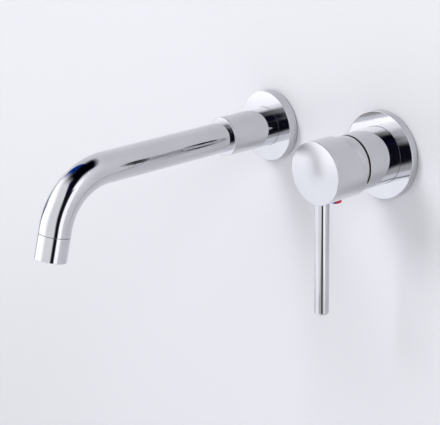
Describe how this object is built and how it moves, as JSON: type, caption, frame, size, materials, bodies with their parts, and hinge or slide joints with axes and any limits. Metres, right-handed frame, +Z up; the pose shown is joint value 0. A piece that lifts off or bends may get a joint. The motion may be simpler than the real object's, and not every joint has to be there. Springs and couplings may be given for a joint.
{
  "type": "wall-mounted basin mixer",
  "caption": "Wall-mounted single-lever basin mixer: a long bent spout and a round valve with a rod lever, each on a round flange, joined by a body set in the wall.",
  "frame": {"origin": "on the valve axis, on the finished wall surface that the flange seals rest on", "axes": "+Y points into the wall and the room is on -Y, +Z is up, +X is right seen from the room"},
  "size_m": [0.182, 0.265, 0.145],
  "materials": {
    "polished_chrome": "mirror-polished chrome plate on brass",
    "index_plastic": "glossy moulded plastic, half red and half blue",
    "black_rubber": "smooth moulded rubber",
    "flange_foam": "matte closed-cell foam",
    "aerator_plastic": "moulded plastic",
    "stainless_steel": "machined",
    "rough_brass": "sand-cast and blasted",
    "turned_brass": "turned",
    "cartridge_plastic": "moulded plastic",
    "disc_ceramic": "lapped",
    "zinc_plate": "bright zinc plate"
  },
  "bodies": {
    "root": {"spout_tube": "polished_chrome", "spout_collar": "polished_chrome", "spout_grub_screw": "stainless_steel", "spout_flange": "polished_chrome", "spout_flange_seal": "flange_foam", "valve_flange": "polished_chrome", "valve_flange_seal": "flange_foam", "outlet_ring": "polished_chrome", "outlet_o_ring": "black_rubber", "aerator_body": "aerator_plastic", "flow_grid": "aerator_plastic", "aerator_screen": "stainless_steel", "aerator_washer": "black_rubber", "spout_nipple": "turned_brass", "nipple_o_rings": "black_rubber", "valve_sleeve": "polished_chrome", "sleeve_o_ring": "black_rubber", "cover_ring": "polished_chrome", "fixed_disc": "disc_ceramic", "cartridge_base": "cartridge_plastic", "port_seals": "black_rubber", "disc_seals": "black_rubber", "cartridge_housing": "cartridge_plastic", "retaining_nut": "turned_brass", "valve_body": "rough_brass", "wall_bracket": "zinc_plate", "body_screws": "zinc_plate"},
    "swivel": {"spindle_holder": "cartridge_plastic", "pivot_pin": "stainless_steel"},
    "handle": {"handle_knob": "polished_chrome", "handle_lever": "polished_chrome", "handle_grub_screw": "stainless_steel", "index_plug": "index_plastic", "spindle": "turned_brass"},
    "carrier": {"disc_carrier": "cartridge_plastic", "moving_disc": "disc_ceramic"}
  },
  "joints": [
    {"name": "handle_swivel", "type": "hinge", "parent": "root", "child": "swivel", "pos_m": [0, -0.03753, 0], "axis": [0, 1, 0], "range_deg": [-50, 50]},
    {"name": "handle_lift", "type": "hinge", "parent": "swivel", "child": "handle", "pos_m": [0, -0.03753, 0], "axis": [-1, 0, 0], "range_deg": [0, 25]},
    {"name": "disc_slide", "type": "slide", "parent": "swivel", "child": "carrier", "axis": [0, 0, -1], "range_m": [0, 0.005]}
  ],
  "couplings": [
    {"joint": "disc_slide", "follows": "handle_lift", "m_per_rad": 0.011409}
  ]
}
